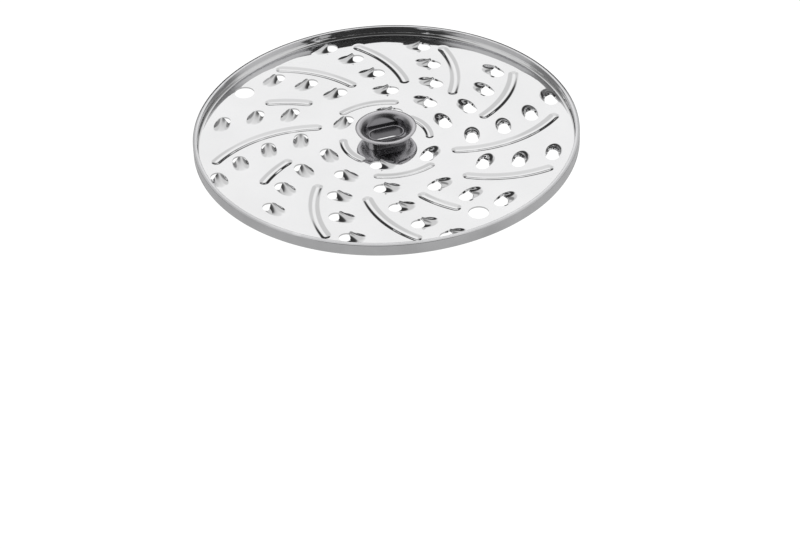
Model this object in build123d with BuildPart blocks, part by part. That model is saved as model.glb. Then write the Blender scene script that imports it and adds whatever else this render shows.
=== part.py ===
from build123d import *

import os
from math import asin, degrees, radians, sin

os.makedirs("parts", exist_ok=True)

# Grating disc of a food processor: pressed sheet, rim ring and drive hub (mm, +Z up).

# ---- driving dimensions -------------------------------------------------------------
disc_radius = 70.0
sheet = 0.6

retainer_height = 1.0
retainer_radius = 11.0

# heights above the underside of the retaining ring, the lowest face
sheet_bottom = retainer_height
sheet_top = sheet_bottom + sheet
rim_top = sheet_bottom + 4.35
flange_top = sheet_bottom + 5.85
insert_top = sheet_bottom + 2.75

# rim ring: a rolled channel that hangs over the sheet's upturned edge
ring_wall = 0.5
ring_lip_bottom = sheet_bottom + 2.35
rim_corner = 0.28
upturn_radius = disc_radius - ring_wall
bend_inner = 1.3

# hub
flange_radius = 11.2
flange_thickness = 0.8
mouth_radius = 8.0
neck_length = 16.0
neck_width = 12.0
neck_corner = 3.2
neck_wall = 0.8
funnel_depth = 1.6
swage_flare = 0.5
slot_length = 12.3
slot_width = 6.4
slot_lip_width = 0.7
slot_lip_height = 0.35

# scoops: hood with a vertical mouth, and a hole in front of it
hood_length = 6.0
hood_height = 2.4
hood_wall = sheet
hood_axis_drop = 0.7
scoop_hole_radius = 2.6
scoop_hole_length = 4.6

# the scoop rows lie on circles through the disc's centre
rows = 12
row_pitch = 360 / rows
row_start = -34.85
row_circle = 105.0
first_track = 37.6
track_step = 2.3
tracks_per_row = 4

# stiffening grooves, pressed down into the sheet
groove_width = 4.4
arc_groove_width = 3.6
groove_depth = 0.6
groove_wall_taper = 60
groove_start = -25.1
groove_circle = 85.0
groove_span = (38.0, 61.7)
short_groove_span = (38.0, 50.0)
long_groove_span = (26.7, 62.3)
long_grooves = (5, 11)
short_grooves = (4, 6, 9)
inner_arc_radius = 15.7
inner_arc_span = (-15.0, 36.0)
outer_arc_radius = 23.5
outer_arc_span = (64.0, 114.0)

# two plain round holes, as (radius from the centre, angle)
round_hole_radius = 3.7
round_holes = ((61.8, 130.0), (57.2, -74.0))


# ---- layout -------------------------------------------------------------------------
def scoop_places():
    """Centre and turn of each scoop; every one meets the food clockwise."""
    places = []
    for row in range(rows):
        row_angle = row_start + row * row_pitch
        for place in range(tracks_per_row):
            track = (0, 2, 1)[row % 3] + 3 * place
            turn = first_track - track * track_step
            radius, angle = row_circle * sin(radians(turn)), row_angle + turn
            if place == tracks_per_row - 1 and row in (5, 11):
                radius, angle = 18.4, row_angle + 12.45
            if place == tracks_per_row - 1 and row in (4, 10):
                radius, angle = 16.3, row_angle - 17.35
            places.append((radius, angle))
    return places


def groove_spans():
    """Angle of origin and radial span of each curved groove."""
    for groove in range(rows):
        span = groove_span
        if groove in long_grooves:
            span = long_groove_span
        elif groove in short_grooves:
            span = short_groove_span
        yield groove_start + groove * row_pitch, span


def polar(radius, angle):
    return Vector(radius, 0, 0).rotate(Axis.Z, angle)


def on_groove_circle(origin_angle, radius):
    return polar(radius, origin_angle + degrees(asin(radius / groove_circle)))


# ---- scoop tools: local +X is the way the mouth looks, Z = 0 is the sheet's top --------
hood_radius = hood_height + hood_axis_drop
hood_axis = Axis((0, 0, -hood_axis_drop), (1, 0, 0))

with BuildPart() as hood:
    with BuildSketch(Plane.XZ):
        with BuildLine():
            crown = ThreePointArc(
                (-hood_length, 0),
                (-0.6 * hood_length, 0.8 * hood_radius - hood_axis_drop),
                (0, hood_height),
            )
            Polyline(crown @ 1, (0, -hood_axis_drop), (-hood_length, -hood_axis_drop), crown @ 0)
        make_face()
    revolve(axis=hood_axis)
    split(bisect_by=Plane.XY.offset(-sheet / 2), keep=Keep.TOP)

with BuildPart() as cavity:
    with BuildSketch(Plane.XZ):
        with BuildLine():
            vault = ThreePointArc(
                (-hood_length + hood_wall, -hood_axis_drop),
                (-0.6 * hood_length, 0.8 * hood_radius - hood_axis_drop - hood_wall),
                (0, hood_height - hood_wall),
            )
            Polyline(vault @ 1, (0, -hood_axis_drop), vault @ 0)
        make_face()
    revolve(axis=hood_axis)
    with BuildSketch(Plane.XY.offset(-2 * sheet)):
        with Locations((scoop_hole_length - scoop_hole_radius, 0)):
            Circle(scoop_hole_radius)
        Rectangle(
            scoop_hole_length - scoop_hole_radius,
            2 * scoop_hole_radius,
            align=(Align.MIN, Align.CENTER),
        )
    extrude(amount=2.5 * sheet)

scoop_locations = [
    Location(polar(radius, angle) + Vector(0, 0, sheet_top), (0, 0, angle - 90))
    for radius, angle in scoop_places()
]

# ---- grating disc -----------------------------------------------------------------------
with BuildPart() as grating_disc:
    with BuildSketch(Plane.XZ) as disc_section:
        with BuildLine():
            Polyline(
                (0, sheet_bottom),
                (upturn_radius, sheet_bottom),
                (upturn_radius, rim_top - ring_wall),
                (upturn_radius - sheet, rim_top - ring_wall),
                (upturn_radius - sheet, sheet_top),
                (0, sheet_top),
                close=True,
            )
        make_face()
        corners = disc_section.vertices().group_by(Axis.X)
        fillet(corners[-2].sort_by(Axis.Y)[0], bend_inner)
        fillet(disc_section.vertices().group_by(Axis.X)[-1].sort_by(Axis.Y)[0], bend_inner + sheet)
    revolve(axis=Axis.Z)

    # curved grooves: a back that stands out under the sheet, and the hollow in its top
    with BuildSketch(Plane.XY.offset(sheet_bottom)) as groove_outlines:
        for origin_angle, (inner, outer) in groove_spans():
            with BuildLine(mode=Mode.PRIVATE) as spine:
                ThreePointArc(*[on_groove_circle(origin_angle, r)
                                for r in (inner, (inner + outer) / 2, outer)])
            SlotArc(spine.edge(), groove_width)
        for half_turn in (0, 180):
            for radius, (start, end) in (
                (inner_arc_radius, inner_arc_span),
                (outer_arc_radius, outer_arc_span),
            ):
                with BuildLine(mode=Mode.PRIVATE) as spine:
                    CenterArc((0, 0), radius, start + half_turn, end - start)
                SlotArc(spine.edge(), arc_groove_width)
    extrude(amount=-groove_depth, taper=groove_wall_taper)
    with BuildSketch(Plane.XY.offset(sheet_top)):
        add(groove_outlines.sketch.moved(Location((0, 0, -sheet_bottom))))
    extrude(amount=-groove_depth, taper=groove_wall_taper, mode=Mode.SUBTRACT)

    with Locations(*scoop_locations):
        add(hood.part)
    with Locations(*scoop_locations):
        add(cavity.part, mode=Mode.SUBTRACT)

    with BuildSketch(Plane.XY):
        RectangleRounded(neck_length, neck_width, neck_corner)
        with Locations(*[polar(radius, angle) for radius, angle in round_holes]):
            Circle(round_hole_radius)
    extrude(amount=2 * sheet_top, mode=Mode.SUBTRACT)
grating_disc.part.label = "grating_disc"
export_step(grating_disc.part, "parts/grating_disc.step")

# ---- rim ring -----------------------------------------------------------------------------
with BuildPart() as rim_ring:
    with BuildSketch(Plane.XZ) as channel:
        with BuildLine():
            Polyline(
                (upturn_radius, sheet_bottom),
                (disc_radius, sheet_bottom),
                (disc_radius, rim_top),
                (upturn_radius - sheet - ring_wall, rim_top),
                (upturn_radius - sheet - ring_wall, ring_lip_bottom),
                (upturn_radius - sheet, ring_lip_bottom),
                (upturn_radius - sheet, rim_top - ring_wall),
                (upturn_radius, rim_top - ring_wall),
                close=True,
            )
        make_face()
        fillet(channel.vertices().group_by(Axis.Y)[-1], rim_corner)
    revolve(axis=Axis.Z)
rim_ring.part.label = "rim_ring"
export_step(rim_ring.part, "parts/rim_ring.step")

# ---- hub collar ---------------------------------------------------------------------------
with BuildPart() as hub_collar:
    # swaged foot, straight neck, funnel and flange
    with BuildSketch(Plane.XY):
        RectangleRounded(
            neck_length + 2 * swage_flare, neck_width + 2 * swage_flare, neck_corner + swage_flare
        )
    with BuildSketch(Plane.XY.offset(swage_flare)):
        RectangleRounded(neck_length, neck_width, neck_corner)
    loft()
    with BuildSketch(Plane.XY.offset(swage_flare)):
        RectangleRounded(neck_length, neck_width, neck_corner)
    extrude(amount=flange_top - flange_thickness - funnel_depth - swage_flare)
    with BuildSketch(Plane.XY.offset(flange_top - flange_thickness - funnel_depth)):
        RectangleRounded(neck_length, neck_width, neck_corner)
    with BuildSketch(Plane.XY.offset(flange_top - flange_thickness)):
        Circle(mouth_radius + neck_wall)
    loft()
    with BuildSketch(Plane.XY.offset(flange_top - flange_thickness)):
        Circle(flange_radius)
    extrude(amount=flange_thickness)
    fillet(hub_collar.edges().filter_by(GeomType.CIRCLE).group_by(SortBy.RADIUS)[-1], 0.38)

    # the pocket through it
    with BuildSketch(Plane.XY):
        RectangleRounded(
            neck_length - 2 * neck_wall, neck_width - 2 * neck_wall, neck_corner - neck_wall
        )
    extrude(amount=flange_top - funnel_depth, mode=Mode.SUBTRACT)
    with BuildSketch(Plane.XY.offset(flange_top - funnel_depth)):
        RectangleRounded(
            neck_length - 2 * neck_wall, neck_width - 2 * neck_wall, neck_corner - neck_wall
        )
    with BuildSketch(Plane.XY.offset(flange_top)):
        Circle(mouth_radius)
    loft(mode=Mode.SUBTRACT)
hub_collar.part.label = "hub_collar"
export_step(hub_collar.part, "parts/hub_collar.step")

# ---- drive insert -------------------------------------------------------------------------
with BuildPart() as drive_insert:
    with BuildSketch(Plane.XY):
        RectangleRounded(
            neck_length - 2 * neck_wall, neck_width - 2 * neck_wall, neck_corner - neck_wall
        )
    extrude(amount=insert_top)
    with BuildSketch(Plane.XY.offset(insert_top)):
        SlotOverall(slot_length + 2 * slot_lip_width, slot_width + 2 * slot_lip_width)
    extrude(amount=slot_lip_height)
    with BuildSketch(Plane.XY):
        SlotOverall(slot_length, slot_width)
    extrude(amount=flange_top, mode=Mode.SUBTRACT)
    lip_edges = drive_insert.faces().sort_by(Axis.Z)[-1].edges()
    fillet(lip_edges, 0.15)
drive_insert.part.label = "drive_insert"
export_step(drive_insert.part, "parts/drive_insert.step")

# ---- hub retaining ring -------------------------------------------------------------------
with BuildPart() as hub_retaining_ring:
    with BuildSketch(Plane.XY):
        Circle(retainer_radius)
    extrude(amount=retainer_height)
    chamfer(hub_retaining_ring.edges().group_by(Axis.Z)[0], 0.3)
    with BuildSketch(Plane.XY):
        RectangleRounded(neck_length, neck_width, neck_corner)
    extrude(amount=retainer_height, mode=Mode.SUBTRACT)
    with BuildSketch(Plane.XY):
        RectangleRounded(
            neck_length + 2 * swage_flare, neck_width + 2 * swage_flare, neck_corner + swage_flare
        )
    with BuildSketch(Plane.XY.offset(swage_flare)):
        RectangleRounded(neck_length, neck_width, neck_corner)
    loft(mode=Mode.SUBTRACT)
hub_retaining_ring.part.label = "hub_retaining_ring"
export_step(hub_retaining_ring.part, "parts/hub_retaining_ring.step")
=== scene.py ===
from math import asin, atan2, cos, pi, radians, sin, sqrt

import bpy
from mathutils import Euler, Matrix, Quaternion, Vector


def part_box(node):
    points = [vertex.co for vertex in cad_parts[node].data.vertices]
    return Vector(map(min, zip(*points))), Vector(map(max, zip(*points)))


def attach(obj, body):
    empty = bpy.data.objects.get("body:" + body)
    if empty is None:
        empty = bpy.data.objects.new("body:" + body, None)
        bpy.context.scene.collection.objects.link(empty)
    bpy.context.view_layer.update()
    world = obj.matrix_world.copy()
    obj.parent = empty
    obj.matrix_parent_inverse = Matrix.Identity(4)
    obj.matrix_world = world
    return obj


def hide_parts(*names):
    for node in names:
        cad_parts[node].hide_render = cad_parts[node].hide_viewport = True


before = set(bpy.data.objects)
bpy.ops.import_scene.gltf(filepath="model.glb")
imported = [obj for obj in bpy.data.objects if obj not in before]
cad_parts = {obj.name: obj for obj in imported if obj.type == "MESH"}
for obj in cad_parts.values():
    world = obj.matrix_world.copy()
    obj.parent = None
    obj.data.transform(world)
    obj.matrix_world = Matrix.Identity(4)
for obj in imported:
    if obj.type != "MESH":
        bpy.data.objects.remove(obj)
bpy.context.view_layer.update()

mm = 0.001
slack = 0.01 * mm  # how far off a picked point may lie
weld = 0.004 * mm  # points nearer than this become one

# where the parts sit, read off the frame
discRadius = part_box("rim_ring")[1].x
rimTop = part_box("rim_ring")[1].z
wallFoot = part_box("rim_ring")[0].z
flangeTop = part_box("hub_collar")[1].z
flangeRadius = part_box("hub_collar")[1].x
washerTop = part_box("hub_retaining_ring")[1].z
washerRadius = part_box("hub_retaining_ring")[1].x
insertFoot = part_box("drive_insert")[0].z
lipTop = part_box("drive_insert")[1].z
sheetThickness = 0.6 * mm
sheetTop = washerTop + sheetThickness


# helpers for working by place
def startFresh():
    if bpy.context.object and bpy.context.object.mode == "EDIT":
        bpy.ops.object.mode_set(mode="OBJECT")
    bpy.ops.object.select_all(action="DESELECT")


def makeActive(piece):
    startFresh()
    piece.select_set(True)
    bpy.context.view_layer.objects.active = piece


def named(name):
    piece = bpy.context.object
    piece.name = name
    piece.data.name = name
    return piece


def pick(piece, test):  # selects the vertices that pass the test, and stays in edit mode
    makeActive(piece)
    bpy.ops.object.mode_set(mode="EDIT")
    bpy.ops.mesh.select_mode(type="VERT")
    bpy.ops.mesh.select_all(action="DESELECT")
    bpy.ops.object.mode_set(mode="OBJECT")
    for v in piece.data.vertices:
        v.select = test(v.co)
    bpy.ops.object.mode_set(mode="EDIT")


def done():
    bpy.ops.object.mode_set(mode="OBJECT")


def scaleFlat(x, y):  # what is picked, about the Z axis
    bpy.ops.transform.resize(value=(x, y, 1), center_override=(0, 0, 0))


def extrudeUp(rise, grow=1):
    bpy.ops.mesh.extrude_edges_move(TRANSFORM_OT_translate={"value": (0, 0, rise)})
    if grow != 1:
        scaleFlat(grow, grow)


def joinAll(pieces, name):
    startFresh()
    for piece in pieces:
        piece.select_set(True)
    bpy.context.view_layer.objects.active = pieces[0]
    bpy.ops.object.join()
    return named(name)


def copyTo(master, place, turn):
    makeActive(master)
    bpy.ops.object.duplicate()
    piece = bpy.context.object
    piece.location = place
    piece.rotation_euler.z = turn
    return piece


def applyPlace(piece):
    makeActive(piece)
    bpy.ops.object.transform_apply(location=True, rotation=True, scale=True)


def applyModifiers(piece):
    makeActive(piece)
    for modifier in list(piece.modifiers):
        bpy.ops.object.modifier_apply(modifier=modifier.name)


def press(piece, heightAt, depth):  # pushes the vertices along Z by weight, as with a die
    group = piece.vertex_groups.new(name="press")
    for v in piece.data.vertices:
        group.add([v.index], heightAt(v.co.x / mm, v.co.y / mm), "REPLACE")
    makeActive(piece)
    bpy.ops.object.modifier_add(type="DISPLACE")
    push = piece.modifiers[-1]
    push.direction = "Z"
    push.mid_level = 0
    push.strength = depth
    push.vertex_group = "press"
    applyModifiers(piece)
    piece.vertex_groups.remove(piece.vertex_groups["press"])


def markOutline(piece, test):
    pick(piece, test)
    bpy.ops.object.vertex_group_add()
    piece.vertex_groups[-1].name = "outline"
    bpy.ops.object.vertex_group_assign()
    done()


def tidyShell(piece):
    makeActive(piece)
    bpy.ops.object.mode_set(mode="EDIT")
    bpy.ops.mesh.select_all(action="SELECT")
    bpy.ops.mesh.remove_doubles(threshold=weld)
    bpy.ops.mesh.normals_make_consistent(inside=False)
    done()


def turnOver(piece):
    pick(piece, lambda co: True)
    bpy.ops.mesh.flip_normals()
    done()


def thicken(piece, thickness, even):  # inwards from the outer skin
    makeActive(piece)
    bpy.ops.object.modifier_add(type="SOLIDIFY")
    wall = piece.modifiers[-1]
    wall.thickness = thickness
    wall.offset = -1
    wall.use_even_offset = even


def breakEdges(piece, width, segments, angle):  # width in mm, on edges sharper than the angle
    makeActive(piece)
    bpy.ops.object.modifier_add(type="BEVEL")
    edge = piece.modifiers[-1]
    edge.width = width * mm
    edge.segments = segments
    edge.limit_method = "ANGLE"
    edge.angle_limit = radians(angle)


def finishPiece(piece, node, material, smoothAngle):
    makeActive(piece)
    bpy.ops.object.shade_smooth_by_angle(angle=radians(smoothAngle), keep_sharp_edges=False)
    piece.data.materials.clear()
    piece.data.materials.append(material)
    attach(piece, "root")
    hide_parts(node)
    print(piece.name + ":", len(piece.data.polygons), "faces")


# loops that the pieces are bridged from
def roundLoop(radius, z, count=64):
    startFresh()
    bpy.ops.mesh.primitive_circle_add(vertices=count, radius=radius, location=(0, 0, z))
    loop = named("loop")
    applyPlace(loop)
    return loop


def cornerLoop(length, width, corner, z, count=64):
    startFresh()
    bpy.ops.mesh.primitive_plane_add(size=1, location=(0, 0, z))
    loop = named("loop")
    bpy.ops.object.mode_set(mode="EDIT")
    bpy.ops.mesh.select_all(action="SELECT")
    bpy.ops.transform.resize(value=(length, width, 1))
    bpy.ops.mesh.bevel(offset=corner, offset_type="OFFSET", segments=count // 4 - 1,
                       affect="VERTICES", profile=0.5)
    bpy.ops.mesh.delete(type="ONLY_FACE")
    done()
    applyPlace(loop)
    return loop


def slotLoop(length, width, z, count=64):
    loop = roundLoop(width / 2, z, count)
    for side in (-1, 1):
        pick(loop, lambda co: co.x * side > slack)
        bpy.ops.transform.translate(value=(side * (length - width) / 2, 0, 0))
        done()
    return loop


def bridged(name, loops, closed=False, cuts=()):
    following = loops[1:] + loops[:1] if closed else loops[1:]
    bands = []
    for number, (first, second) in enumerate(zip(loops, following)):
        startFresh()
        first.select_set(True)
        second.select_set(True)
        bpy.context.view_layer.objects.active = first
        bpy.ops.object.duplicate()
        bpy.ops.object.join()
        bpy.ops.object.mode_set(mode="EDIT")
        bpy.ops.mesh.select_all(action="SELECT")
        bpy.ops.mesh.bridge_edge_loops(number_cuts=cuts[number] if cuts else 0,
                                       interpolation="LINEAR")
        done()
        bands.append(bpy.context.object)
    startFresh()
    for loop in set(loops):
        loop.select_set(True)
    bpy.ops.object.delete()
    piece = joinAll(bands, name)
    tidyShell(piece)
    return piece


# scoops
scoopShape = {
    "tail": 6.0,  # from the widest place back to the end of the hood
    "front": 4.9,  # and forward to the end of the hole
    "halfWidth": 3.2,
    "holeMiddle": 2.2,
    "holeHalfWidth": 2.5,
    "lipBack": (6.0, 4.7),  # the lip runs back, then forward again up to its crest
    "height": 2.5,
    "ease": 1.7,  # how softly the hood leaves the sheet
    "tent": 0.3,  # share of straight flanks in the round arch
    "crest": 0.12,  # rounding of the tent's ridge
    "arch": 1.4,  # above 1 the arch meets the corners of the mouth softly
    "margin": 0.3,
    "around": 44,
    "rings": 9,
    "halvings": 24,
    "rows": 12,
    "rowStart": -34.85,
    "rowCircle": 105.0,
    "firstTurn": 37.6,
    "turnStep": 2.3,
    "stagger": (0, 2, 1),  # each row starts this many steps further in
    "places": 4,  # scoops in a row
    # radius and turn of the last scoop in the rows that meet the hub's arcs
    "moved": {4: (16.3, -17.35), 5: (18.4, 12.45), 10: (16.3, -17.35), 11: (18.4, 12.45)},
    "outward": 0.5,
    "outermost": 64.0,
}


def eggLoop(front, back, side, count):
    egg = roundLoop(mm, 0, count)
    for stretch, half in ((front, 1), (back, -1)):
        pick(egg, lambda co: co.x * half > slack)
        scaleFlat(stretch, 1)
        done()
    pick(egg, lambda co: True)
    scaleFlat(1, side)
    done()
    return egg


def lipPlace(back):  # how far forward the lip stands; back is 0 at its corner, 1 at its crest
    s = scoopShape
    return s["holeMiddle"] - s["lipBack"][0] * back + s["lipBack"][1] * back ** 2


def holeLoop(count):
    s = scoopShape
    hole = roundLoop(mm, 0, count)
    for step in range(count // 4 + 1, count // 2 + 1):  # the rear half is the hood's lip
        back = -cos(2 * pi * step / count)
        pick(hole, lambda co: abs(co.x + back * mm) < 0.1 * slack)
        place = lipPlace(back) - s["holeMiddle"]
        bpy.ops.transform.translate(value=((place + back) * mm, 0, 0))
        done()
    pick(hole, lambda co: co.x > 0 and co.x ** 2 + co.y ** 2 > (0.999 * mm) ** 2)
    scaleFlat(s["front"] - s["holeMiddle"], 1)
    done()
    pick(hole, lambda co: True)
    scaleFlat(1, s["holeHalfWidth"])
    bpy.ops.transform.translate(value=(s["holeMiddle"] * mm, 0, 0))
    done()
    return hole


def hoodHeight(x, y):  # share of the hood's height, along the straight line from base to lip
    s = scoopShape
    low, high = 0.0, 1.0
    for _ in range(s["halvings"]):  # closes in on the share that passes through this place
        share = (low + high) / 2
        across = min(1, abs(y) / ((1 - share) * s["halfWidth"] + share * s["holeHalfWidth"]))
        back = sqrt(1 - across ** 2)
        here = share * lipPlace(back) - (1 - share) * s["tail"] * back
        low, high = (share, high) if here < x else (low, share)
    if across >= 0.9999 or high < 0.001 or x > s["holeMiddle"] - 0.01:  # off the hood
        return 0
    ridge = s["crest"]
    tent = 1 - (sqrt(across ** 2 + ridge ** 2) - ridge) / (sqrt(1 + ridge ** 2) - ridge)
    section = s["tent"] * tent + (1 - s["tent"]) * back ** s["arch"]
    return section * share ** s["ease"]


def makeScoop():
    s = scoopShape
    margin = s["margin"]
    scoop = bridged("scoop", [
        eggLoop(s["front"] + 2 * margin, s["tail"] + margin, s["halfWidth"] + margin, s["around"]),
        eggLoop(s["front"] + margin, s["tail"], s["halfWidth"], s["around"]),
        holeLoop(s["around"]),
    ], cuts=(0, s["rings"] - 1))
    press(scoop, hoodHeight, s["height"] * mm)
    markOutline(scoop, lambda co: (co.x / (s["front"] + 2 * margin if co.x > 0
                                           else s["tail"] + margin)) ** 2
                + (co.y / (s["halfWidth"] + margin)) ** 2 > 0.998 * mm ** 2)
    return scoop


def scoopPlaces():  # radius and angle of each scoop
    s = scoopShape
    for row in range(s["rows"]):
        rowAngle = s["rowStart"] + row * 360 / s["rows"]
        for place in range(s["places"]):
            turn = s["firstTurn"] - (s["stagger"][row % 3] + 3 * place) * s["turnStep"]
            radius = s["rowCircle"] * sin(radians(turn))
            if place == s["places"] - 1 and row in s["moved"]:
                radius, turn = s["moved"][row]
            yield min(radius + s["outward"], s["outermost"]), radians(rowAngle + turn)


# pressed grooves
grooveShape = {
    "width": 4.9,
    "arcWidth": 3.7,
    "depth": 0.6,
    "margin": 0.15,
    "across": 14,
    "step": 0.45,  # along the groove
    "endSteps": 8,
    "rows": 12,
    "circle": 42.5,  # the curved grooves lie on circles through the centre
    "start": -25.1,
    "span": (38.0, 61.7),  # from and to this far from the centre
    "shortSpan": (38.0, 50.0),
    "longSpan": (26.7, 62.3),
    "long": (5, 11),
    "short": (4, 6, 9),
    "arcs": ((15.7, -15.0, 36.0), (23.5, 64.0, 114.0)),  # radius, first and last angle
}


def makeGroove(arcRadius, startAngle, sweep, width):
    g = grooveShape
    reach = (width / 2 + g["margin"]) * mm
    radius = arcRadius * mm
    startFresh()
    bpy.ops.mesh.primitive_grid_add(x_subdivisions=g["across"], y_subdivisions=1, size=2 * reach)
    groove = named("groove")
    pick(groove, lambda co: co.y > 0)
    bpy.ops.mesh.delete(type="VERT")
    done()

    def dip(x, y):
        return 0.5 + 0.5 * cos(pi * min(1, abs(x) / (width / 2)))

    press(groove, dip, -g["depth"] * mm)
    pick(groove, lambda co: True)
    bpy.ops.transform.translate(value=(radius, reach, 0))
    steps = max(4, round(radius * sweep / (g["step"] * mm)))
    bpy.ops.mesh.spin(steps=steps, angle=-sweep, center=(0, 0, 0), axis=(0, 0, 1))
    done()
    for end, way in ((0, -1), (sweep, 1)):  # round ends
        middle = Vector((radius * cos(end), radius * sin(end), 0))
        outward = Vector((cos(end), sin(end), 0))
        along = Vector((-sin(end), cos(end), 0))
        pick(groove, lambda co: abs((co - middle).dot(along)) < slack
             and -slack < (co - middle).dot(outward) < 1.01 * reach)
        bpy.ops.mesh.spin(steps=g["endSteps"], angle=-way * pi, center=middle, axis=(0, 0, 1))
        done()
    tidyShell(groove)

    def onEdge(co):
        if -0.0001 <= atan2(co.y, co.x) <= sweep + 0.0001:
            gap = abs(sqrt(co.x ** 2 + co.y ** 2) - radius)
        else:
            gap = min((Vector((co.x, co.y, 0)) - Vector((radius * cos(a), radius * sin(a), 0))).length
                      for a in (0, sweep))
        return gap > 0.99 * reach

    markOutline(groove, onEdge)
    groove.rotation_euler.z = startAngle
    applyPlace(groove)
    return groove


def allGrooves():
    g = grooveShape
    grooves = []
    for row in range(g["rows"]):
        span = g["longSpan"] if row in g["long"] else g["shortSpan"] if row in g["short"] else g["span"]
        aim = radians(g["start"] + row * 360 / g["rows"])
        # the circle's centre is a quarter turn on from the groove's first direction
        centre = Vector((cos(aim + pi / 2), sin(aim + pi / 2), 0)) * g["circle"] * mm
        inner, outer = (2 * asin(r / (2 * g["circle"])) for r in span)
        groove = makeGroove(g["circle"], aim - pi / 2 + inner, outer - inner, g["width"])
        groove.location = centre
        applyPlace(groove)
        grooves.append(groove)
    for radius, first, last in g["arcs"]:
        for half in (0, 180):
            grooves.append(makeGroove(radius, radians(first + half), radians(last - first),
                                      g["arcWidth"]))
    return grooves


# the pressed disc
discShape = {
    "bend": 1.3,
    "bendSteps": 6,
    "around": 240,
    "roundHoles": ((61.8, 130.0), (57.2, -74.0)),  # radius, angle
    "roundHoleRadius": 3.7,
    "holePoints": 40,
    "neck": (16.0, 12.0, 3.2),  # length, width and corner of the hub's hole
    "neckPoints": 48,
    "upturnGap": 0.5,  # the rim ring's wall
}


def makeDisc(material):
    d = discShape
    scoop = makeScoop()
    parts = []
    for radius, angle in scoopPlaces():
        place = (radius * cos(angle) * mm, radius * sin(angle) * mm, 0)
        parts.append(copyTo(scoop, place, angle - pi / 2))
    makeActive(scoop)
    bpy.ops.object.delete()
    print("scoops:", len(parts))
    for part in parts:
        applyPlace(part)
    grooves = allGrooves()
    print("grooves:", len(grooves))

    wallRadius = discRadius - d["upturnGap"] * mm - sheetThickness
    flatRadius = wallRadius - d["bend"] * mm
    outer = roundLoop(flatRadius, 0, d["around"])
    length, width, corner = d["neck"]
    loops = [outer, cornerLoop(length * mm, width * mm, corner * mm, 0, d["neckPoints"])]
    for radius, angle in d["roundHoles"]:
        hole = roundLoop(d["roundHoleRadius"] * mm, 0, d["holePoints"])
        hole.location = (radius * cos(radians(angle)) * mm, radius * sin(radians(angle)) * mm, 0)
        applyPlace(hole)
        loops.append(hole)
    for loop in loops:
        markOutline(loop, lambda co: True)

    disc = joinAll(loops + parts + grooves, "gratingDisc")
    bpy.ops.object.mode_set(mode="EDIT")
    bpy.ops.mesh.select_mode(type="VERT")
    bpy.ops.mesh.select_all(action="DESELECT")
    disc.vertex_groups.active = disc.vertex_groups["outline"]
    bpy.ops.object.vertex_group_select()
    bpy.ops.mesh.fill(use_beauty=True)
    done()
    print("flat filled:", len(disc.data.polygons), "faces")

    # bend and upturned wall
    pick(disc, lambda co: sqrt(co.x ** 2 + co.y ** 2) > flatRadius - slack)
    before = flatRadius
    height = 0
    wallTop = rimTop - d["upturnGap"] * mm - sheetTop
    for step in range(1, d["bendSteps"] + 1):
        turn = step / d["bendSteps"] * pi / 2
        radius = flatRadius + d["bend"] * mm * sin(turn)
        rise = d["bend"] * mm * (1 - cos(turn))
        extrudeUp(rise - height, radius / before)
        before, height = radius, rise
    extrudeUp(wallTop - height)
    done()
    tidyShell(disc)
    if sum(f.normal.z for f in disc.data.polygons) < 0:
        turnOver(disc)
    disc.location.z = sheetTop
    applyPlace(disc)

    thicken(disc, sheetThickness, False)
    applyModifiers(disc)
    finishPiece(disc, "grating_disc", material, 40)


# rim ring
ringShape = {
    "wall": 0.5,
    "lipDrop": 2.0,
    "round": 0.12,  # along the crown's edges
    "around": 240,
    "slope": (0.8, 0.2),  # the outer half of the crown falls to the wall: width, fall
    "inset": 1.6,  # whole width of the crown
    "passedOver": 0.2,  # faces this near the inner radius don't say which way is out
    "break": (0.1, 2, 60),  # width, segments, least angle, as in the other pieces
}


def makeRing(material):
    r = ringShape
    startFresh()
    bpy.ops.mesh.primitive_cylinder_add(vertices=r["around"], radius=discRadius,
                                        depth=rimTop - wallFoot, end_fill_type="NOTHING",
                                        location=(0, 0, (rimTop + wallFoot) / 2))
    ring = named("rimRing")
    applyPlace(ring)
    pick(ring, lambda co: co.z > rimTop - slack)
    width, fall = r["slope"]
    ridgeRadius = discRadius - width * mm
    innerRadius = discRadius - r["inset"] * mm
    bpy.ops.transform.translate(value=(0, 0, -fall * mm))
    before = discRadius
    for radius, rise in ((ridgeRadius, fall), (innerRadius, 0)):
        extrudeUp(rise * mm, radius / before)
        before = radius
    extrudeUp(-r["lipDrop"] * mm)
    done()
    tidyShell(ring)
    # outward on the wall, up on the crown
    if sum(f.normal.dot(f.center) for f in ring.data.polygons if abs(f.normal.z) < 0.1
           and f.center.xy.length > innerRadius + r["passedOver"] * mm) < 0:
        turnOver(ring)
    pick(ring, lambda co: co.z > rimTop - fall * mm - slack)
    bpy.ops.mesh.bevel(offset=r["round"] * mm, segments=4, affect="EDGES", offset_type="OFFSET")
    done()
    thicken(ring, r["wall"] * mm, True)
    breakEdges(ring, *r["break"])
    applyModifiers(ring)
    finishPiece(ring, "rim_ring", material, 40)


# hub collar
collarShape = {
    "neck": (16.0, 12.0, 3.2),
    "wall": 0.8,
    "profile": ((8.0, -1.25), (8.75, -0.55), (9.6, -0.16), (10.5, 0.0)),  # radius, height from the top
    "edge": (0.12, 0.3),  # the flange's last edge: in from its radius, down from the top
    "pocketDrop": 2.3,
    "swage": 0.5,
    "count": 64,
    "break": (0.3, 4, 50),
}


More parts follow.
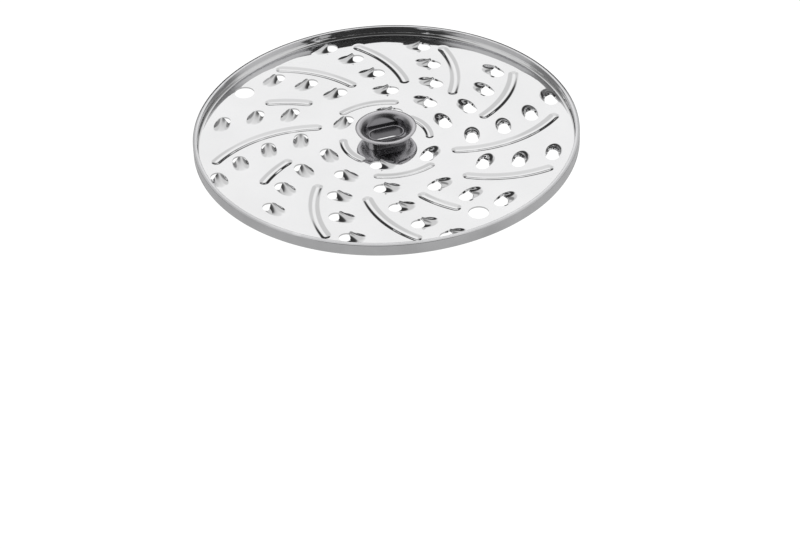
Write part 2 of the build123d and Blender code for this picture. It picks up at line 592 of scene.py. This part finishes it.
def makeCollar(material):
    c = collarShape
    wall = c["wall"] * mm
    length, width, corner = (v * mm for v in c["neck"])
    inside = (length - 2 * wall, width - 2 * wall, corner - wall)
    swage = c["swage"] * mm
    skin = bridged("hubCollar", [
        cornerLoop(inside[0] + 2 * swage, inside[1] + 2 * swage, inside[2] + swage, 0, c["count"]),
        cornerLoop(*inside, swage, c["count"]),
        cornerLoop(*inside, flangeTop - c["pocketDrop"] * mm, c["count"]),
        *[roundLoop(radius * mm, flangeTop + drop * mm, c["count"])
          for radius, drop in c["profile"]],
        roundLoop(flangeRadius - c["edge"][0] * mm, flangeTop - c["edge"][1] * mm, c["count"]),
    ], cuts=(0, 0, 2, 0, 0, 0, 0))
    if sum(f.normal.z for f in skin.data.polygons) < 0:
        turnOver(skin)
    thicken(skin, wall, True)
    breakEdges(skin, *c["break"])
    applyModifiers(skin)
    finishPiece(skin, "hub_collar", material, 45)


# drive insert
insertShape = {
    "neck": (14.36, 10.36, 2.38),
    "slot": (12.3, 6.4),
    "slotDraft": 0.5,  # how much it narrows downwards, each side
    "lipWidth": 0.7,
    "lipHeight": 0.35,
    "lipCrown": 1.5,  # both sides together, in lip widths
    "count": 64,
    "break": (0.16, 3, 38),
}


def makeInsert(material):
    s = insertShape
    length, width, corner = (v * mm for v in s["neck"])
    slotLength, slotWidth = (v * mm for v in s["slot"])
    lip = s["lipWidth"] * mm
    crown = s["lipCrown"] * lip
    draft = s["slotDraft"] * mm
    floor = lipTop - s["lipHeight"] * mm
    block = bridged("driveInsert", [
        cornerLoop(length, width, corner, insertFoot, s["count"]),
        cornerLoop(length, width, corner, floor, s["count"]),
        slotLoop(slotLength + 2 * lip, slotWidth + 2 * lip, floor, s["count"]),
        slotLoop(slotLength + crown, slotWidth + crown, lipTop, s["count"]),
        slotLoop(slotLength, slotWidth, lipTop, s["count"]),
        slotLoop(slotLength - 2 * draft, slotWidth - 2 * draft, insertFoot, s["count"]),
    ], closed=True)
    breakEdges(block, *s["break"])
    applyModifiers(block)
    finishPiece(block, "drive_insert", material, 45)


# retaining ring under the disc
washerShape = {
    "neck": (16.0, 12.0, 3.2),
    "swage": 0.5,
    "chamfer": 0.3,
    "count": 64,
    "break": (0.08, 2, 30),
}


def makeWasher(material):
    w = washerShape
    length, width, corner = (v * mm for v in w["neck"])
    swage = w["swage"] * mm
    chamfer = w["chamfer"] * mm
    washer = bridged("hubRetainingRing", [
        roundLoop(washerRadius - chamfer, 0, w["count"]),
        roundLoop(washerRadius, chamfer, w["count"]),
        roundLoop(washerRadius, washerTop, w["count"]),
        cornerLoop(length, width, corner, washerTop, w["count"]),
        cornerLoop(length, width, corner, swage, w["count"]),
        cornerLoop(length + 2 * swage, width + 2 * swage, corner + swage, 0, w["count"]),
    ], closed=True)
    breakEdges(washer, *w["break"])
    applyModifiers(washer)
    finishPiece(washer, "hub_retaining_ring", material, 40)


# materials
def newGroup(name, inputs, outputs):
    group = bpy.data.node_groups.new(name, "ShaderNodeTree")
    for label, value in inputs:
        socket = group.interface.new_socket(label, in_out="INPUT", socket_type="NodeSocketFloat")
        socket.default_value = value
    for label in outputs:
        group.interface.new_socket(label, in_out="OUTPUT", socket_type="NodeSocketFloat")
    return group, group.nodes.new("NodeGroupInput"), group.nodes.new("NodeGroupOutput")


def addMath(nodes, links, operation, *values):
    node = nodes.new("ShaderNodeMath")
    node.operation = operation
    for number, value in enumerate(values):
        if isinstance(value, (int, float)):
            node.inputs[number].default_value = value
        else:
            links.new(value, node.inputs[number])
    return node.outputs[0]


def addNoise(nodes, links, vector, scale, detail):
    noise = nodes.new("ShaderNodeTexNoise")
    noise.inputs["Detail"].default_value = detail
    links.new(vector, noise.inputs["Vector"])
    if isinstance(scale, (int, float)):
        noise.inputs["Scale"].default_value = scale
    else:
        links.new(scale, noise.inputs["Scale"])
    return noise.outputs[0]


def makeSmudges():  # faint cloudy handling marks
    group, given, result = newGroup("smudges", [("Scale", 45.0), ("Contrast", 3.0)], ["Mask"])
    nodes, links = group.nodes, group.links
    coords = nodes.new("ShaderNodeTexCoord")
    cloud = addNoise(nodes, links, coords.outputs["Object"], given.outputs["Scale"], 5)
    centred = addMath(nodes, links, "SUBTRACT", cloud, 0.5)
    strong = addMath(nodes, links, "MULTIPLY", centred, given.outputs["Contrast"])
    node = nodes.new("ShaderNodeClamp")
    links.new(addMath(nodes, links, "ADD", strong, 0.5), node.inputs[0])
    links.new(node.outputs[0], result.inputs["Mask"])
    return group


def makeTurned():  # fine lines round the axis, as rolling and turning leave
    group, given, result = newGroup("turnedLines", [("Scale", 6000.0)], ["Lines"])
    nodes, links = group.nodes, group.links
    coords = nodes.new("ShaderNodeTexCoord")
    split = nodes.new("ShaderNodeSeparateXYZ")
    links.new(coords.outputs["Object"], split.inputs[0])
    squares = [addMath(nodes, links, "MULTIPLY", split.outputs[axis], split.outputs[axis])
               for axis in ("X", "Y")]
    radius = addMath(nodes, links, "SQRT", addMath(nodes, links, "ADD", *squares))
    turn = addMath(nodes, links, "ARCTAN2", split.outputs["Y"], split.outputs["X"])
    join = nodes.new("ShaderNodeCombineXYZ")
    links.new(radius, join.inputs[0])
    links.new(split.outputs["Z"], join.inputs[1])
    links.new(addMath(nodes, links, "MULTIPLY", turn, 0.0004), join.inputs[2])
    links.new(addNoise(nodes, links, join.outputs[0], given.outputs["Scale"], 3),
              result.inputs["Lines"])
    return group


def makeScratches():  # hair lines in two directions
    group, given, result = newGroup("scratches", [("Scale", 260.0)], ["Mask"])
    nodes, links = group.nodes, group.links
    coords = nodes.new("ShaderNodeTexCoord")
    masks = []
    for turn in (0.5, 1.9):
        place = nodes.new("ShaderNodeMapping")
        place.inputs["Rotation"].default_value = (0, 0, turn)
        place.inputs["Scale"].default_value = (1, 30, 1)
        links.new(coords.outputs["Object"], place.inputs["Vector"])
        hair = addNoise(nodes, links, place.outputs[0], given.outputs["Scale"], 2)
        masks.append(addMath(nodes, links, "GREATER_THAN", hair, 0.69))
    links.new(addMath(nodes, links, "MAXIMUM", *masks), result.inputs["Mask"])
    return group


def makeWear():  # 1 on worn outside edges
    group, given, result = newGroup("edgeWear", [("Start", 0.53), ("Full", 0.6)], ["Mask"])
    nodes, links = group.nodes, group.links
    shape = nodes.new("ShaderNodeNewGeometry")
    spread = nodes.new("ShaderNodeMapRange")
    links.new(shape.outputs["Pointiness"], spread.inputs["Value"])
    links.new(given.outputs["Start"], spread.inputs["From Min"])
    links.new(given.outputs["Full"], spread.inputs["From Max"])
    links.new(spread.outputs[0], result.inputs["Mask"])
    return group


def makeGrain():  # small grain of a blasted casting
    group, given, result = newGroup("grain", [("Scale", 2600.0)], ["Height"])
    nodes, links = group.nodes, group.links
    coords = nodes.new("ShaderNodeTexCoord")
    links.new(addNoise(nodes, links, coords.outputs["Object"], given.outputs["Scale"], 3),
              result.inputs["Height"])
    return group


def makePocketShade():  # painted shade: 1 on the flange, 0 on the neck and in the pocket, which are painted darker
    group, given, result = newGroup("pocketShade", [], ["Mask"])
    nodes, links = group.nodes, group.links
    coords = nodes.new("ShaderNodeTexCoord")
    flat = nodes.new("ShaderNodeVectorMath")
    flat.operation = "MULTIPLY"
    flat.inputs[1].default_value = (1, 1, 0)
    links.new(coords.outputs["Object"], flat.inputs[0])
    reach = nodes.new("ShaderNodeVectorMath")
    reach.operation = "LENGTH"
    links.new(flat.outputs[0], reach.inputs[0])
    spread = nodes.new("ShaderNodeMapRange")
    spread.inputs["From Min"].default_value = 8.1 * mm  # distance from the axis
    spread.inputs["From Max"].default_value = 9.3 * mm
    links.new(reach.outputs["Value"], spread.inputs["Value"])
    links.new(spread.outputs[0], result.inputs["Mask"])
    return group


smudges, turnedLines, scratches, edgeWear, grain, pocketShade = (
    makeSmudges(), makeTurned(), makeScratches(), makeWear(), makeGrain(), makePocketShade())


def useGroup(nodes, group):
    node = nodes.new("ShaderNodeGroup")
    node.node_tree = group
    return node.outputs[0]


def blendTones(nodes, links, mask, dark, light):
    blend = nodes.new("ShaderNodeMix")
    blend.data_type = "RGBA"
    blend.inputs[6].default_value = (*dark, 1)
    blend.inputs[7].default_value = (*light, 1)
    links.new(mask, blend.inputs[0])
    return blend.outputs[2]


def spreadTo(nodes, links, mask, low, high):
    spread = nodes.new("ShaderNodeMapRange")
    spread.inputs["To Min"].default_value = low
    spread.inputs["To Max"].default_value = high
    links.new(mask, spread.inputs["Value"])
    return spread.outputs[0]


# tones are of the clean and the worn steel; where the painted-shade mask is 0 the steel stays near the
# first tone, which is then painted shade
def makeSteel(name, tones, roughness, marks, height, bumpDepth, paintedShade=None):
    material = bpy.data.materials.new(name)
    material.use_nodes = True
    nodes, links = material.node_tree.nodes, material.node_tree.links
    shader = nodes["Principled BSDF"]
    shader.inputs["Metallic"].default_value = 1
    clouds = useGroup(nodes, smudges)
    worn = useGroup(nodes, edgeWear)
    mask = addMath(nodes, links, "MAXIMUM", clouds, worn)
    # painted shade: this mask pulls the neck and the pocket down to the first tone
    if paintedShade:
        shadeFactor = spreadTo(nodes, links, useGroup(nodes, paintedShade), 0.1, 1)
        mask = addMath(nodes, links, "MULTIPLY", spreadTo(nodes, links, mask, 0.8, 1), shadeFactor)
    links.new(blendTones(nodes, links, mask, *tones), shader.inputs["Base Color"])
    rough = spreadTo(nodes, links, useGroup(nodes, marks), *roughness)
    cloudRough = spreadTo(nodes, links, clouds, 1.0, 1.25)
    links.new(addMath(nodes, links, "MULTIPLY", rough, cloudRough), shader.inputs["Roughness"])
    bump = nodes.new("ShaderNodeBump")
    bump.inputs["Strength"].default_value = 0.35
    bump.inputs["Distance"].default_value = bumpDepth
    links.new(useGroup(nodes, height), bump.inputs["Height"])
    links.new(bump.outputs[0], shader.inputs["Normal"])
    return material


mirrorSteel = makeSteel("mirrorSteel", ((0.865, 0.865, 0.87), (0.9, 0.9, 0.905)),
                        (0.05, 0.16), scratches, smudges, 0.02 * mm)
satinSteel = makeSteel("satinSteel", ((0.64, 0.64, 0.65), (0.79, 0.79, 0.8)),
                       (0.08, 0.24), turnedLines, turnedLines, 0.004 * mm)
# the dark first hub tone is painted shade for the neck and the pocket; the second is the flange's steel
hubSteel = makeSteel("hubSteel", ((0.27, 0.265, 0.28), (0.66, 0.65, 0.67)),
                     (0.17, 0.3), grain, grain, 0.02 * mm, pocketShade)
print("steels ready")

makeDisc(mirrorSteel)
makeRing(satinSteel)
makeCollar(hubSteel)
makeInsert(hubSteel)
makeWasher(satinSteel)


# floor and light
studio = {
    "panelEdge": (0.14, 0.34),  # how far aside the panel fades
    "wallEdge": (0.5, 0.64),  # and where the side walls begin
    "wallFoot": (0.28, 0.42),  # radians round the X axis
    "wallHead": (1.05, 1.45),
    "sideTone": 0.67,
    "wallTone": 0.25,
    "darkTone": 0.04,
    "floorPaint": 0.12,
    "floorRough": 0.9,
    "floorTone": 0.44,  # its own glow, as the steel sees it
    "floorDrop": 0.25,
    "floorSize": 12.0,
    "tones": (  # angle round the X axis from the back horizon, brightness
        (0, 0.03), (19, 0.04), (26, 0.95), (52, 0.98), (61, 0.82), (76, 0.74), (88, 0.58),
        (98, 0.1), (112, 0.04), (180, 0.03)),
}


def makeStage():
    startFresh()
    bpy.ops.mesh.primitive_plane_add(size=studio["floorSize"], location=(0, 0, -studio["floorDrop"]))
    floor = named("studioFloor")
    applyPlace(floor)
    paint = bpy.data.materials.new("paleFloor")
    paint.use_nodes = True
    shader = paint.node_tree.nodes["Principled BSDF"]
    shader.inputs["Base Color"].default_value = (*[studio["floorPaint"]] * 3, 1)
    shader.inputs["Roughness"].default_value = studio["floorRough"]
    shader.inputs["Emission Color"].default_value = (1, 1, 1, 1)
    nodes, links = paint.node_tree.nodes, paint.node_tree.links
    path = nodes.new("ShaderNodeLightPath")
    glow = nodes.new("ShaderNodeMapRange")  # paler to the camera than in the steel
    glow.inputs["To Min"].default_value = studio["floorTone"]
    links.new(path.outputs["Is Camera Ray"], glow.inputs["Value"])
    links.new(glow.outputs[0], shader.inputs["Emission Strength"])
    floor.data.materials.append(paint)


def makeLight():  # a white panel behind, pale walls to the sides, the camera's side in the dark
    world = bpy.data.worlds.new("studioDome")
    bpy.context.scene.world = world
    world.use_nodes = True
    nodes, links = world.node_tree.nodes, world.node_tree.links
    coords = nodes.new("ShaderNodeTexCoord")
    split = nodes.new("ShaderNodeSeparateXYZ")
    turned = nodes.new("ShaderNodeMapping")
    turned.inputs["Rotation"].default_value = (0, 0, radians(-cameraPlace["azimuth"]))
    links.new(coords.outputs["Generated"], turned.inputs["Vector"])
    links.new(turned.outputs[0], split.inputs[0])
    angle = addMath(nodes, links, "ARCTAN2", split.outputs["Z"], split.outputs["Y"])
    ramp = nodes.new("ShaderNodeValToRGB")
    links.new(addMath(nodes, links, "DIVIDE", angle, pi), ramp.inputs["Fac"])
    stops = ramp.color_ramp.elements
    while len(stops) < len(studio["tones"]):
        stops.new(0.5)
    for stop, (degree, tone) in zip(stops, studio["tones"]):
        stop.position = degree / 180
        stop.color = (tone, tone, tone, 1)
    aside = addMath(nodes, links, "ABSOLUTE", split.outputs["X"])
    sideTone, wallTone = studio["sideTone"], studio["wallTone"]

    def softStep(value, limits, low, high):
        spread = nodes.new("ShaderNodeMapRange")
        spread.interpolation_type = "SMOOTHSTEP"
        spread.inputs["From Min"].default_value, spread.inputs["From Max"].default_value = limits
        spread.inputs["To Min"].default_value = low
        spread.inputs["To Max"].default_value = high
        links.new(value, spread.inputs["Value"])
        return spread.outputs[0]

    panel = addMath(nodes, links, "MINIMUM", ramp.outputs["Color"],
                    softStep(aside, studio["panelEdge"], 1, sideTone))
    low = softStep(angle, studio["wallFoot"], studio["darkTone"], wallTone)
    high = softStep(angle, studio["wallHead"], 0, sideTone - wallTone)
    wall = addMath(nodes, links, "ADD", low, high)
    onWall = softStep(aside, studio["wallEdge"], 0, 1)
    offWall = addMath(nodes, links, "SUBTRACT", 1, onWall)
    light = addMath(nodes, links, "ADD", addMath(nodes, links, "MULTIPLY", panel, offWall),
                    addMath(nodes, links, "MULTIPLY", onWall, wall))
    links.new(light, nodes["Background"].inputs["Color"])


# camera
cameraPlace = {
    "distance": 1.1605,
    "elevation": 34.818,
    "azimuth": -17.0,
    "roll": -2.506,
    "tilt": -2.416,
    "pan": -0.242,
    "lens": 143.9,
    "sensor": 36.0,
    "farthest": 30.0,
}


def makeCamera():
    c = cameraPlace
    startFresh()
    bpy.ops.object.camera_add()
    camera = named("studioCamera")
    camera.data.lens = c["lens"]
    camera.data.sensor_width = c["sensor"]
    camera.data.clip_end = c["farthest"]
    up, turn = radians(c["elevation"]), radians(c["azimuth"])
    back = Vector((sin(turn) * cos(up), -cos(turn) * cos(up), sin(up)))
    camera.location = Vector((0, 0, wallFoot)) + back * c["distance"]
    camera.rotation_mode = "QUATERNION"
    aim = (-back).to_track_quat("-Z", "Y")
    rolled = aim @ Quaternion((0, 0, 1), radians(c["roll"]))
    swung = Euler((radians(c["tilt"]), radians(c["pan"]), 0)).to_quaternion()
    camera.rotation_quaternion = rolled @ swung
    bpy.context.scene.camera = camera


makeStage()
makeLight()
makeCamera()
bpy.context.scene.view_settings.view_transform = "Standard"
bpy.context.scene.view_settings.look = "None"
print("studio ready")
